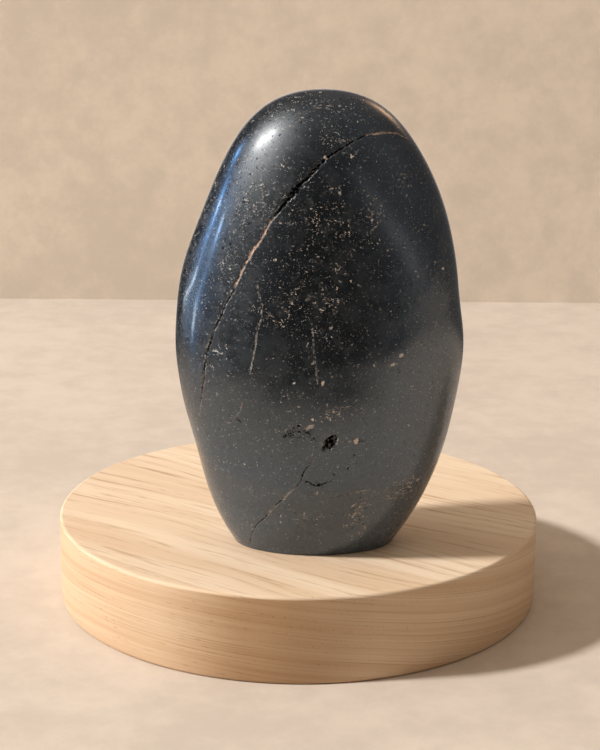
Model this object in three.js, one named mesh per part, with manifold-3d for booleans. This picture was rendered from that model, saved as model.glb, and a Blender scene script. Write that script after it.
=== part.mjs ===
// A polished black tourmaline, cut flat at its foot, standing on a round wooden stand.
// Millimetres, +Z up. The origin is the middle of the stand's underside, on the surface
// that the stand rests on. The stone's face looks towards -Y, and +X is to its viewer's right.

import * as THREE from 'three';
import { mergeVertices } from 'three/addons/utils/BufferGeometryUtils.js';
import Module from 'manifold-3d';

const wasm = await Module();
wasm.setup();

// The stand: a turned disc of pale wood with its two rims eased.
const STAND_DIAMETER = 125;
const STAND_THICKNESS = 22;
const STAND_RIM_ROUND = 0.8;
const STAND_SIDES = 128;
const RIM_STEPS = 4;

// Where the stone's foot stands on the disc, off the disc's middle.
const STONE_ACROSS = 4.8;
const STONE_FORWARD = 24;

// The stone's outline, seen from the front: how far it reaches from its middle in sixteen
// compass directions, the first one straight up and the rest clockwise.
const MIDDLE_ABOVE_FOOT = 52;
const OUTLINE_REACH = [
  62.8, 54.5, 42.9, 36.4, 35.4, 37.1, 42.9, 53.5,
  63.1, 55.3, 42.0, 36.2, 35.2, 36.8, 41.4, 52.9,
];
const HALF_DEPTH = 20.5;

// Broad, soft flats left by hand polishing. Turn is measured from the face towards the
// viewer's right and tilt upwards, in degrees; reach is the flat's distance from the middle.
const FLATS = [
  { turn: 0, tilt: 4, reach: 21.5 },
  { turn: -38, tilt: 6, reach: 27 },
  { turn: 41, tilt: -6, reach: 27 },
  { turn: 150, tilt: -8, reach: 26 },
  { turn: 180, tilt: 2, reach: 21 },
  { turn: 0, tilt: 88, reach: 64 },
];
const FLAT_SHARPNESS = 14;

// Shallow waves that hand polishing leaves all over, as shares of the local reach.
const WAVES = [
  { along: [0.9, 0.3, 2.6], phase: 0.4, height: 0.0022 },
  { along: [-2.1, 1.4, 3.9], phase: 1.7, height: 0.0016 },
  { along: [3.2, -2.3, -1.2], phase: 2.9, height: 0.0016 },
];

const STONE_SIDES = 64;
const STONE_RINGS = 36;

// Natural open cracks in the face, as points [across, above the foot] on its surface: the
// long one that runs down from the right shoulder, and the short one low on the left.
const CRACKS = [
  {
    halfWidth: 0.5,
    points: [
      [21, 103.3], [17.5, 103.6], [14.6, 103], [8.8, 100.1], [5.6, 98.2], [2.8, 95.2], [-0.8, 91.6],
      [-3.3, 88.4], [-7, 83.5], [-9.1, 79.4], [-12.7, 73.5], [-14.8, 68.7], [-17.3, 64],
      [-19.6, 58.7], [-21.2, 53.8], [-22.5, 48.5], [-23.3, 40.7], [-24.2, 34.1],
    ],
  },
  {
    halfWidth: 0.35,
    points: [[3.4, 26.6], [1.1, 23.5], [-0.8, 19.4], [-4.6, 15.3], [-8.1, 10.4], [-10.8, 6.7], [-11.6, 3.2]],
  },
];
const CRACK_STEP = 2.5;
const CRACK_SIDES = 6;

// Open pits in the face: place as for the cracks, half sizes, and how far the top leans
// towards the viewer's right, in degrees.
const PITS = [
  { at: [7.5, 31.4], wide: 1.3, high: 2.3, deep: 1.8, lean: 40 },
  { at: [2.3, 35], wide: 1.5, high: 0.8, deep: 1, lean: -28 },
  { at: [-0.5, 33.9], wide: 1.3, high: 0.8, deep: 0.8, lean: -10 },
  { at: [-3, 32.9], wide: 1.2, high: 0.8, deep: 0.8, lean: 20 },
];

// Halvings that find a point of the surface to well under a thousandth of a millimetre.
const SEARCH_HALVINGS = 40;

const STONE_FINISH = { color: 0x17191c, roughness: 0.2, metalness: 0 };
const STAND_FINISH = { color: 0xdcb78e, roughness: 0.6, metalness: 0 };

function flatNormal({ turn, tilt }) {
  const across = THREE.MathUtils.degToRad(turn);
  const up = THREE.MathUtils.degToRad(tilt);
  return new THREE.Vector3(
    Math.sin(across) * Math.cos(up),
    -Math.cos(across) * Math.cos(up),
    Math.sin(up),
  );
}

const FLAT_NORMALS = FLATS.map(flatNormal);

// The outline's reach at any clock angle: the smooth closed curve through the sixteen reaches.
function reachAt(clock) {
  const count = OUTLINE_REACH.length;
  let reach = 0;
  OUTLINE_REACH.forEach((value, index) => {
    const half = (clock - (2 * Math.PI * index) / count) / 2;
    const onPoint = Math.abs(Math.sin(half)) < 1e-9;
    reach += value * (onPoint ? 1 : Math.sin(count * half) / (count * Math.tan(half)));
  });
  return reach;
}

// How far out a point lies, as a share of the way from the stone's middle to its surface.
function surfaceShare(point) {
  const outline = Math.hypot(point.x, point.z) / reachAt(Math.atan2(point.x, point.z));
  let sum = Math.hypot(outline, point.y / HALF_DEPTH) ** FLAT_SHARPNESS;
  FLATS.forEach((flat, index) => {
    sum += Math.max(0, point.dot(FLAT_NORMALS[index]) / flat.reach) ** FLAT_SHARPNESS;
  });
  const direction = point.clone().normalize();
  let swell = 1;
  for (const { along, phase, height } of WAVES) {
    swell += height * Math.sin(direction.dot(new THREE.Vector3(...along)) * Math.PI + phase);
  }
  return sum ** (1 / FLAT_SHARPNESS) / swell;
}

// The point of the stone's face at a place across it and above its foot, in the stone's frame.
function facePoint(across, above) {
  const place = new THREE.Vector3(across - STONE_ACROSS, 0, above - MIDDLE_ABOVE_FOOT);
  let inside = 0;
  let outside = 2 * HALF_DEPTH;
  for (let halving = 0; halving < SEARCH_HALVINGS; halving += 1) {
    const middle = (inside + outside) / 2;
    place.y = -middle;
    if (surfaceShare(place) < 1) inside = middle;
    else outside = middle;
  }
  return new THREE.Vector3(place.x, -inside, above);
}

function toSolid(geometry) {
  const plain = geometry.clone();
  plain.deleteAttribute('normal');
  plain.deleteAttribute('uv');
  const merged = mergeVertices(plain);
  const index = merged.index.array;
  const corners = [];
  for (let i = 0; i < index.length; i += 3) {
    const [a, b, c] = [index[i], index[i + 1], index[i + 2]];
    if (a !== b && b !== c && c !== a) corners.push(a, b, c);
  }
  return new wasm.Manifold(new wasm.Mesh({
    numProp: 3,
    vertProperties: new Float32Array(merged.attributes.position.array),
    triVerts: new Uint32Array(corners),
  }));
}

function toGeometry(solid) {
  const mesh = solid.getMesh();
  const geometry = new THREE.BufferGeometry();
  geometry.setAttribute('position', new THREE.BufferAttribute(new Float32Array(mesh.vertProperties), 3));
  geometry.setIndex(new THREE.BufferAttribute(new Uint32Array(mesh.triVerts), 1));
  geometry.computeVertexNormals();
  return geometry;
}

// The whole rounded pebble, in a frame whose origin is under its middle at the foot's level.
function pebble() {
  const geometry = new THREE.SphereGeometry(1, STONE_SIDES, STONE_RINGS).rotateX(Math.PI / 2);
  const position = geometry.attributes.position;
  const widest = reachAt(Math.PI / 2);
  const tallest = reachAt(0);
  for (let i = 0; i < position.count; i += 1) {
    const point = new THREE.Vector3().fromBufferAttribute(position, i);
    point.multiply(new THREE.Vector3(widest, HALF_DEPTH, tallest));
    point.divideScalar(surfaceShare(point));
    position.setXYZ(i, point.x, point.y, point.z + MIDDLE_ABOVE_FOOT);
  }
  return toSolid(geometry);
}

// Everything below the foot's level, which the saw took away.
function belowFoot() {
  const size = 4 * MIDDLE_ABOVE_FOOT;
  return toSolid(new THREE.BoxGeometry(size, size, size).translate(0, 0, -size / 2));
}

// A thin round rod along a crack, half sunk in the face.
function crackRod({ points, halfWidth }) {
  const path = new THREE.CatmullRomCurve3(points.map(([across, above]) => facePoint(across, above)));
  const section = new THREE.Shape();
  for (let side = 0; side < CRACK_SIDES; side += 1) {
    const angle = (2 * Math.PI * side) / CRACK_SIDES;
    const corner = [halfWidth * Math.cos(angle), halfWidth * Math.sin(angle)];
    if (side === 0) section.moveTo(...corner);
    else section.lineTo(...corner);
  }
  section.closePath();
  const steps = Math.round(path.getLength() / CRACK_STEP);
  return toSolid(new THREE.ExtrudeGeometry(section, { steps, extrudePath: path }));
}

function pitBody({ at, wide, high, deep, lean }) {
  const geometry = new THREE.IcosahedronGeometry(1, 1).scale(wide, deep, high);
  geometry.rotateY(THREE.MathUtils.degToRad(lean));
  const centre = facePoint(...at);
  return toSolid(geometry.translate(centre.x, centre.y, centre.z));
}

function tourmaline() {
  let solid = pebble().subtract(belowFoot());
  for (const crack of CRACKS) solid = solid.subtract(crackRod(crack));
  for (const pit of PITS) solid = solid.subtract(pitBody(pit));
  const mesh = new THREE.Mesh(toGeometry(solid), new THREE.MeshStandardMaterial(STONE_FINISH));
  mesh.name = 'tourmaline';
  mesh.position.set(STONE_ACROSS, -STONE_FORWARD, STAND_THICKNESS);
  return mesh;
}

function woodenStand() {
  const radius = STAND_DIAMETER / 2;
  const inner = radius - STAND_RIM_ROUND;
  const profile = [new THREE.Vector2(0, 0)];
  const quarter = (centreHeight, from) => {
    for (let step = 0; step <= RIM_STEPS; step += 1) {
      const angle = from + (Math.PI / 2) * (step / RIM_STEPS);
      profile.push(new THREE.Vector2(
        inner + STAND_RIM_ROUND * Math.cos(angle),
        centreHeight + STAND_RIM_ROUND * Math.sin(angle),
      ));
    }
  };
  quarter(STAND_RIM_ROUND, -Math.PI / 2);
  quarter(STAND_THICKNESS - STAND_RIM_ROUND, 0);
  profile.push(new THREE.Vector2(0, STAND_THICKNESS));
  const geometry = new THREE.LatheGeometry(profile, STAND_SIDES).rotateX(Math.PI / 2);
  const mesh = new THREE.Mesh(geometry, new THREE.MeshStandardMaterial(STAND_FINISH));
  mesh.name = 'wooden_stand';
  return mesh;
}

const part = new THREE.Group();
part.name = 'tourmaline_on_stand';
part.add(woodenStand(), tourmaline());

export default part;
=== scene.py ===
"""A polished black tourmaline on its round wooden stand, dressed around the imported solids.

The shapes are worked out in millimetres in the object's own frame and written in metres: +Z is
up, the stone's face looks towards -Y, and the origin is the middle of the stand's underside.
"""

import logging
import math
from dataclasses import dataclass, field, replace
from enum import Enum

import bmesh
import bpy
import numpy as np
from mathutils import Matrix, Vector, kdtree, noise


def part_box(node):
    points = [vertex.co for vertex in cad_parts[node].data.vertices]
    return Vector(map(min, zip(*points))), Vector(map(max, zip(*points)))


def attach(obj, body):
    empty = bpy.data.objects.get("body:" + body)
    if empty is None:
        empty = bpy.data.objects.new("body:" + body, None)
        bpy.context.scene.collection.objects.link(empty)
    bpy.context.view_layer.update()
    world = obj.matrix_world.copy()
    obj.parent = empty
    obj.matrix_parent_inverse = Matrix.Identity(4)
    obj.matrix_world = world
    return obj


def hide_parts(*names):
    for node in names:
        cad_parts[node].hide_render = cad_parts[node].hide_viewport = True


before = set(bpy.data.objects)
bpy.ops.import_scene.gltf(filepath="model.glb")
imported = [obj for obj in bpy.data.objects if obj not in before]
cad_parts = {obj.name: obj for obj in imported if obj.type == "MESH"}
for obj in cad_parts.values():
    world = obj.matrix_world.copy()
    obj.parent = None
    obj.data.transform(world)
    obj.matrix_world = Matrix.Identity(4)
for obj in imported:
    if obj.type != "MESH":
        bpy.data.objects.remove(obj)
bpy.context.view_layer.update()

LOG = logging.getLogger("tourmaline")
MM = 0.001
PER_METRE = 1000.0
BODY = "root"

NOISE_MIDDLE = 0.5
SNAP = 1e-6
TINY = 1e-9

Colour = tuple[float, float, float]
Socket = bpy.types.NodeSocket


class Filling(Enum):
    """What a stretch of a crack shows: how much brown mineral, how pale its rims are, how deep."""

    OPEN = (0.0, 0.1, 1.0)
    MINERAL = (1.0, 0.1, 0.3)
    BRAIDED = (0.08, 0.75, 0.9)
    SPOTTED = (0.4, 0.3, 0.6)
    FAINT = (0.5, 0.75, 0.0)


class Tint(Enum):
    """The colours of the stone's chips."""

    ORANGE = 1.0
    PALE = 0.0


def direction(turn: float, rise: float) -> Vector:
    """Gives the unit vector of a direction around the object.

    Args:
        turn: degrees from straight towards the viewer, growing to the viewer's right.
        rise: degrees above the horizon.

    Returns:
        The unit vector.
    """
    across, up = math.radians(turn), math.radians(rise)
    return Vector((
        math.sin(across) * math.cos(up),
        -math.cos(across) * math.cos(up),
        math.sin(up),
    ))


def coordinates(bm: bmesh.types.BMesh) -> np.ndarray:
    """Reads a mesh's points as rows of x, y and z."""
    return np.array([vert.co[:] for vert in bm.verts])


def place(bm: bmesh.types.BMesh, points: np.ndarray) -> None:
    """Moves a mesh's points to the rows of an array."""
    for vert, point in zip(bm.verts, points):
        vert.co = point


def search_tree(points: np.ndarray) -> kdtree.KDTree:
    """Gives a tree that finds the nearest of an array's points."""
    tree = kdtree.KDTree(len(points))
    for index, point in enumerate(points):
        tree.insert(point, index)
    tree.balance()
    return tree


def new_piece(bm: bmesh.types.BMesh, name: str, scale: float = MM) -> bpy.types.Object:
    """Writes a mesh as an object in metres, at the origin.

    Args:
        bm: the finished mesh, which is freed.
        name: the object's name.
        scale: metres in one unit of the mesh.

    Returns:
        The object.
    """
    bmesh.ops.scale(bm, vec=(scale, scale, scale), verts=bm.verts)
    mesh = bpy.data.meshes.new(name)
    bm.to_mesh(mesh)
    bm.free()
    piece = bpy.data.objects.new(name, mesh)
    bpy.context.scene.collection.objects.link(piece)
    return piece


def hang(data: bpy.types.ID, target: Vector, away: Vector, distance: float,
         roll: float = 0.0) -> bpy.types.Object:
    """Hangs a lamp or a camera so that it faces a target.

    Args:
        data: the lamp or the camera.
        target: the point that it faces.
        away: the unit vector from the target to it.
        distance: how far from the target it is, in metres.
        roll: how far it is turned around its own view, in degrees.

    Returns:
        The object.
    """
    holder = bpy.data.objects.new(data.name, data)
    turned = away.to_track_quat("Z", "Y").to_matrix().to_4x4()
    holder.matrix_world = (Matrix.Translation(target + away * distance) @ turned
                           @ Matrix.Rotation(math.radians(roll), 4, "Z"))
    bpy.context.scene.collection.objects.link(holder)
    return holder


class Graph:
    """Adds nodes to one tree and links them."""

    def __init__(self, tree: bpy.types.NodeTree) -> None:
        """Keeps the tree."""
        self.tree = tree

    def node(self, kind: str, settings: dict | None = None, **inputs: object) -> bpy.types.Node:
        """Adds a node and fills its inputs.

        Args:
            kind: the node's type.
            settings: the node's own properties.
            inputs: sockets or values by input name, with _ for a space.

        Returns:
            The node.
        """
        made = self.tree.nodes.new(kind)
        for name, value in (settings or {}).items():
            setattr(made, name, value)
        for name, value in inputs.items():
            self.feed(made.inputs[name.replace("_", " ")], value)
        return made

    def feed(self, socket: Socket, value: object) -> None:
        """Links a socket to an input, or sets the input's value."""
        if isinstance(value, Socket):
            self.tree.links.new(value, socket)
        else:
            socket.default_value = value

    def math(self, operation: str, *values: object) -> Socket:
        """Adds a Math node and gives its result."""
        made = self.node("ShaderNodeMath", {"operation": operation})
        for socket, value in zip(made.inputs, values):
            self.feed(socket, value)
        return made.outputs[0]

    def times(self, first: object, second: object) -> Socket:
        """Gives the product of two numbers."""
        return self.math("MULTIPLY", first, second)

    def plus(self, first: object, second: object) -> Socket:
        """Gives the sum of two numbers."""
        return self.math("ADD", first, second)

    def minus(self, first: object, second: object) -> Socket:
        """Gives the first number less the second."""
        return self.math("SUBTRACT", first, second)

    def most(self, first: object, second: object) -> Socket:
        """Gives the larger of two numbers."""
        return self.math("MAXIMUM", first, second)

    def vector(self, operation: str, *values: object) -> Socket:
        """Adds a Vector Math node and gives its vector, or its number where it has one."""
        made = self.node("ShaderNodeVectorMath", {"operation": operation})
        sockets = [socket for socket in made.inputs if socket.enabled]
        for socket, value in zip(sockets, values):
            self.feed(socket, value)
        return made.outputs["Value" if operation in ("LENGTH", "DOT_PRODUCT") else "Vector"]

    def mix(self, share: object, first: object, second: object) -> Socket:
        """Adds a colour Mix node and gives its result."""
        made = self.node("ShaderNodeMix", {"data_type": "RGBA"})
        for index, value in ((0, share), (6, first), (7, second)):
            if isinstance(value, tuple) and len(value) == 3:
                value = (*value, 1.0)
            self.feed(made.inputs[index], value)
        return made.outputs[2]

    def blend(self, share: object, first: object, second: object) -> Socket:
        """Adds a number Mix node and gives its result."""
        made = self.node("ShaderNodeMix", {"data_type": "FLOAT"})
        for index, value in ((0, share), (2, first), (3, second)):
            self.feed(made.inputs[index], value)
        return made.outputs[0]

    def ramp(self, value: object, low: object, high: object, start: object = 0.0,
             end: object = 1.0) -> Socket:
        """Maps a number smoothly from the range low to high onto the range start to end."""
        made = self.node("ShaderNodeMapRange", {"interpolation_type": "SMOOTHSTEP"})
        for index, item in enumerate((value, low, high, start, end)):
            self.feed(made.inputs[index], item)
        return made.outputs[0]

    def noise(self, vector: object, scale: float, detail: float = 2.0,
              roughness: float = 0.5) -> Socket:
        """Adds a Noise Texture node and gives its number."""
        made = self.node("ShaderNodeTexNoise", Vector=vector, Scale=scale, Detail=detail,
                         Roughness=roughness)
        return made.outputs[0]

    def attribute(self, name: str, output: str = "Fac") -> Socket:
        """Gives one of the piece's own attributes, as a number or as a vector."""
        return self.node("ShaderNodeAttribute", {"attribute_name": name}).outputs[output]

    def split(self, vector: object) -> list[Socket]:
        """Gives the three numbers of a vector."""
        return list(self.node("ShaderNodeSeparateXYZ", Vector=vector).outputs)

    def bump(self, height: object, strength: float, depth: float) -> Socket:
        """Gives the normals of a relief whose depth is in millimetres."""
        made = self.node("ShaderNodeBump", Height=height, Strength=strength, Distance=depth * MM)
        return made.outputs["Normal"]

    def millimetres(self) -> Socket:
        """Gives the object coordinates in millimetres."""
        where = self.node("ShaderNodeTexCoord").outputs["Object"]
        return self.vector("SCALE", where, PER_METRE)


def new_material(name: str) -> tuple[bpy.types.Material, Graph, bpy.types.Node]:
    """Starts a material, and gives it, a graph on it and its Principled shader."""
    made = bpy.data.materials.new(name)
    made.use_nodes = True
    return made, Graph(made.node_tree), made.node_tree.nodes["Principled BSDF"]


def new_group(name: str, inputs: dict[str, str], outputs: dict[str, str]) -> tuple[
        bpy.types.NodeTree, Graph, bpy.types.Node, bpy.types.Node]:
    """Starts a shader node group.

    Args:
        name: the group's name.
        inputs: socket types by input name.
        outputs: socket types by output name.

    Returns:
        The group, a graph on it, its input node and its output node.
    """
    tree = bpy.data.node_groups.new(name, "ShaderNodeTree")
    for label, kind in inputs.items():
        tree.interface.new_socket(label, in_out="INPUT", socket_type=kind)
    for label, kind in outputs.items():
        tree.interface.new_socket(label, in_out="OUTPUT", socket_type=kind)
    graph = Graph(tree)
    return tree, graph, graph.node("NodeGroupInput"), graph.node("NodeGroupOutput")


def grain_group() -> bpy.types.NodeTree:
    """Builds the group of mineral grains: broken curls and crumbs, as dense as they are asked for."""
    tree, graph, given, made = new_group(
        "grains",
        {"Vector": "NodeSocketVector", "Scale": "NodeSocketFloat", "Density": "NodeSocketFloat"},
        {"Mask": "NodeSocketFloat", "Tone": "NodeSocketFloat"},
    )
    where, scale = given.outputs["Vector"], given.outputs["Scale"]
    curl = graph.noise(where, scale, 0.6, 0.5)
    line = graph.ramp(graph.math("ABSOLUTE", graph.minus(curl, NOISE_MIDDLE)), 0.065, 0.03)
    shifted = graph.vector("ADD", where, (7.0, 31.0, 13.0))
    bits = graph.noise(shifted, graph.times(scale, 1.15), 2.0, 0.55)
    crumbs = graph.noise(shifted, graph.times(scale, 1.6), 1.0, 0.5)
    clumps = graph.noise(where, graph.times(scale, 0.4), 2.0, 0.6)
    tone = graph.noise(where, graph.times(scale, 0.7), 0.0)
    amount = graph.times(given.outputs["Density"], graph.ramp(clumps, 0.4, 0.62, 0.1, 1.5))
    amount = graph.math("MINIMUM", amount, 1.0)
    edge = graph.minus(0.7, graph.times(amount, 0.2))
    curls = graph.times(line, graph.ramp(bits, edge, graph.plus(edge, 0.05)))
    edge = graph.minus(0.76, graph.times(amount, 0.1))
    crumbs = graph.ramp(crumbs, edge, graph.plus(edge, 0.03))
    graph.feed(made.inputs["Mask"], graph.most(curls, crumbs))
    graph.feed(made.inputs["Tone"], graph.ramp(tone, 0.35, 0.65))
    return tree


def dot_group() -> bpy.types.NodeTree:
    """Builds the group of lone specks: small dots, as many as the density asks for."""
    tree, graph, given, made = new_group(
        "dots",
        {"Vector": "NodeSocketVector", "Cell": "NodeSocketFloat", "Density": "NodeSocketFloat",
         "Largest": "NodeSocketFloat"},
        {"Mask": "NodeSocketFloat", "Tone": "NodeSocketFloat"},
    )
    where, cell = given.outputs["Vector"], given.outputs["Cell"]
    warp = graph.node("ShaderNodeTexNoise", Vector=where, Scale=1.7, Detail=3.0,
                      Roughness=0.6).outputs["Color"]
    warp = graph.vector("SUBTRACT", warp, (NOISE_MIDDLE,) * 3)
    shift = graph.vector("SCALE", warp, graph.times(cell, 1.5))
    moved = graph.vector("ADD", where, shift)
    scaled = graph.vector("SCALE", moved, graph.math("DIVIDE", 1.0, cell))
    cells = graph.node("ShaderNodeTexVoronoi", Vector=scaled, Scale=1.0)
    random = graph.node("ShaderNodeSeparateColor", Color=cells.outputs["Color"])
    present = graph.math("LESS_THAN", random.outputs[0], given.outputs["Density"])
    share = graph.math("POWER", random.outputs[1], 2.0)
    radius = graph.blend(share, 0.12, given.outputs["Largest"])
    grain = graph.ramp(cells.outputs["Distance"], radius, graph.times(radius, 0.7))
    graph.feed(made.inputs["Mask"], graph.times(grain, present))
    graph.feed(made.inputs["Tone"], random.outputs[2])
    return tree


@dataclass(frozen=True)
class SpeckGroups:
    """The two shared groups of the stone's specks."""

    grains: bpy.types.NodeTree
    dots: bpy.types.NodeTree


@dataclass(frozen=True)
class StoneFinish:
    """The polish of the near-black stone, with its specks, cracks and pits.

    Towards the foot the polish is less glossy, and a lighter bluish grey is painted into its colour
    there: a painted reflection of the bright surfaces below.
    """

    slot: str = "tourmaline"
    ground: Colour = (0.0075, 0.0088, 0.0105)
    haze: Colour = (0.016, 0.0175, 0.0195)
    brown: Colour = (0.35, 0.29, 0.245)
    orange: Colour = (0.74, 0.63, 0.54)
    rust: Colour = (0.72, 0.46, 0.33)
    pale: Colour = (0.6, 0.58, 0.56)
    grey: Colour = (0.2, 0.2, 0.205)
    # Near-black painted into open cracks, pit floors and pocks: painted shade in these recesses.
    painted_hollow_shade: Colour = (0.001, 0.001, 0.001)
    # Painted reflection: the lighter bluish grey laid into the colour towards the foot, and the
    # heights over which it fades in.
    low_painted_reflection: Colour = (0.058, 0.076, 0.1)
    low_painted_reflection_from: float = 60.0
    low_painted_reflection_to: float = 30.0
    specular_tint: Colour = (0.61, 0.79, 0.98)
    specular_level: float = 1.0
    roughness: float = 0.26
    coat_weight: float = 0.5
    coat_roughness: float = 0.06
    refraction: float = 1.64
    low_gloss_loss: float = 0.5
    dull_roughness: float = 0.75
    dull_level: float = 0.04
    chip_level: float = 0.3
    chip_dulling: float = 0.7
    pock_dulling: float = 0.85
    pocks_everywhere: float = 0.1
    bump_strength: float = 0.5
    bump_depth: float = 0.12
    rim_inner: float = 0.08
    rim_outer: float = 0.24
    rim_strength: float = 0.8

    def material(self, groups: SpeckGroups) -> bpy.types.Material:
        """Builds the stone's material.

        Args:
            groups: the shared groups of specks.

        Returns:
            The material.
        """
        made, graph, shader = new_material("polished_tourmaline")
        where = graph.millimetres()
        fine = graph.noise(where, 2.6, 3.0, 0.65)
        cloud = graph.noise(where, 0.2, 6.0, 0.68)
        # Towards the foot a painted reflection of the bright surfaces below is mixed into the colour,
        # and the gloss drops.
        low_painted_reflection = graph.ramp(graph.split(where)[2], self.low_painted_reflection_from, self.low_painted_reflection_to)
        colour = graph.mix(graph.ramp(cloud, 0.4, 0.68), self.ground, self.haze)
        colour = graph.mix(low_painted_reflection, colour, self.low_painted_reflection)
        colour, chips, pocks = self.add_specks(graph, groups, where, colour)
        colour, open_crack = self.add_cracks(graph, where, colour)
        colour, chip, pit = self.add_chips_and_pits(graph, where, colour)

        matt = graph.most(open_crack, pit)
        matt = graph.most(matt, graph.times(pocks, self.pock_dulling))
        chips = graph.most(chips, chip)
        dulled = graph.most(matt, graph.times(chips, self.chip_dulling))
        smears = graph.ramp(cloud, 0.36, 0.66, self.roughness - 0.05, self.roughness + 0.07)
        gloss = graph.minus(1.0, graph.times(low_painted_reflection, self.low_gloss_loss))
        coat = graph.times(graph.minus(1.0, dulled), self.coat_weight)
        level = graph.blend(chips, self.specular_level, self.chip_level)
        level = graph.blend(matt, level, self.dull_level)
        height = graph.minus(graph.times(matt, -1.0), graph.times(chips, 0.3))
        height = graph.plus(height, graph.times(fine, 0.05))
        for name, value in (
            ("Base Color", colour),
            ("Roughness", graph.blend(dulled, smears, self.dull_roughness)),
            ("Coat Weight", graph.times(coat, gloss)),
            ("Specular IOR Level", graph.times(gloss, level)),
            ("Normal", graph.bump(height, self.bump_strength, self.bump_depth)),
            ("Specular Tint", (*self.specular_tint, 1.0)),
            ("Coat Roughness", self.coat_roughness),
            ("Coat IOR", self.refraction),
            ("IOR", self.refraction),
        ):
            graph.feed(shader.inputs[name], value)
        return made

    def add_specks(self, graph: Graph, groups: SpeckGroups, where: Socket,
                   colour: Socket) -> tuple[Socket, ...]:
        """Lays the grains, the lone specks and the pocks over a colour.

        Args:
            graph: the material's graph.
            groups: the shared groups of specks.
            where: the place in millimetres.
            colour: the colour underneath.

        Returns:
            The colour, the mask of all specks and the mask of the pocks.
        """
        brown = graph.attribute("brown_chips")
        grey = graph.attribute("grey_chips")

        def lay(tree: bpy.types.NodeTree, stretch: Colour, offset: Colour,
                **inputs: object) -> tuple[Socket, Socket]:
            """Places a group of specks and gives its mask and its tone."""
            moved = graph.vector("ADD", graph.vector("MULTIPLY", where, stretch), offset)
            placed = graph.node("ShaderNodeGroup", {"node_tree": tree}, Vector=moved, **inputs)
            return placed.outputs["Mask"], placed.outputs["Tone"]

        layers = (
            (lay(groups.dots, (1.0, 1.0, 1.0), (5.0, 71.0, 29.0), Cell=0.85, Largest=0.26,
                 Density=graph.plus(graph.times(grey, 0.34), 0.02)), self.grey, self.pale, 0.8),
            (lay(groups.grains, (0.8, 1.0, 1.15), (41.0, 7.0, 13.0), Scale=1.5, Density=grey),
             self.grey, self.pale, 0.85),
            (lay(groups.grains, (0.75, 1.0, 1.15), (0.0, 0.0, 0.0), Scale=1.4, Density=brown),
             self.brown, self.orange, 0.85),
            (lay(groups.dots, (0.9, 1.0, 1.0), (61.0, 2.0, 33.0), Cell=1.3, Largest=0.3,
                 Density=graph.plus(graph.times(brown, 0.3), 0.015)), self.orange, self.pale, 0.9),
        )
        chips = 0.0
        for (mask, tone), dark, light, strength in layers:
            mask = graph.times(mask, strength)
            colour = graph.mix(mask, colour, graph.mix(tone, dark, light))
            chips = graph.most(chips, mask)
        share = graph.plus(graph.attribute("pocks"), graph.times(grey, 0.6))
        share = graph.plus(share, self.pocks_everywhere)
        small, _ = lay(groups.grains, (0.9, 1.0, 1.0), (17.0, 3.0, 57.0), Scale=1.5, Density=share)
        large, _ = lay(groups.grains, (0.8, 1.0, 1.0), (9.0, 47.0, 5.0), Scale=0.95,
                       Density=graph.minus(share, 0.3))
        pocks = graph.most(small, large)
        # The pocks are painted near-black: painted shade in their small holes.
        return graph.mix(graph.times(pocks, 0.9), colour, self.painted_hollow_shade), chips, pocks

    def add_cracks(self, graph: Graph, where: Socket,
                   colour: Socket) -> tuple[Socket, ...]:
        """Draws the cracks over a colour.

        Args:
            graph: the material's graph.
            where: the place in millimetres.
            colour: the colour underneath.

        Returns:
            The colour and the mask of the open cracks.
        """
        side, width, _ = graph.split(graph.attribute("seam", "Vector"))
        fill, paleness, _ = graph.split(graph.attribute("seam_look", "Vector"))
        present = graph.ramp(width, 0.02, 0.08)
        pinch = graph.ramp(graph.noise(where, 0.6, 2.0, 0.6), 0.36, 0.62, 0.4, 1.3)
        half = graph.times(width, graph.blend(paleness, pinch, graph.times(pinch, 0.85)))
        ragged = graph.minus(graph.noise(where, 1.5, 3.0, 0.7), NOISE_MIDDLE)
        wander = graph.times(ragged, graph.plus(graph.times(half, 2.1), 0.22))
        gap = graph.plus(graph.math("ABSOLUTE", side), wander)
        inside = graph.times(graph.ramp(gap, half, graph.times(half, 0.6)), present)
        broken = graph.ramp(graph.noise(where, 1.5, 3.0, 0.7), 0.46, 0.58)
        outer, inner = graph.plus(half, self.rim_outer), graph.plus(half, self.rim_inner)
        rim = graph.times(graph.ramp(gap, outer, inner), broken)
        rim = graph.times(graph.times(rim, paleness), present)
        crumbs = graph.ramp(graph.noise(where, 1.6, 2.0, 0.6), 0.4, 0.6)
        mineral = graph.mix(crumbs, self.brown, graph.mix(paleness, self.rust, self.pale))
        grip = graph.ramp(graph.noise(where, 0.9, 4.0, 0.7), 0.34, 0.5, 0.2, 1.0)
        bridges = graph.ramp(graph.noise(where, 1.5, 3.0, 0.7), 0.54, 0.6)
        bridges = graph.times(bridges, graph.plus(graph.times(paleness, 0.6), 0.35))
        colour = graph.mix(graph.times(rim, self.rim_strength), colour, self.pale)
        # The gaps of the open cracks are painted near-black, painted shade, with grey bits across
        # them.
        painted_hollow_shade = graph.mix(bridges, self.painted_hollow_shade, self.grey)
        colour = graph.mix(inside, colour, graph.mix(graph.times(fill, grip), painted_hollow_shade, mineral))
        return colour, inside

    def add_chips_and_pits(self, graph: Graph, where: Socket,
                           colour: Socket) -> tuple[Socket, ...]:
        """Draws the insides of the pits, with painted shade on their floors and painted highlights on
        their rims and floors, and the large chips over a colour.

        Args:
            graph: the material's graph.
            where: the place in millimetres.
            colour: the colour underneath.

        Returns:
            The colour, the mask of the chips and the mask of the pits.
        """
        ragged = graph.minus(graph.noise(where, 1.9, 3.0, 0.7), NOISE_MIDDLE)
        pit = graph.plus(graph.attribute("pit"), graph.times(ragged, 1.1))
        floor = graph.ramp(pit, 0.22, 0.34)
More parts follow.
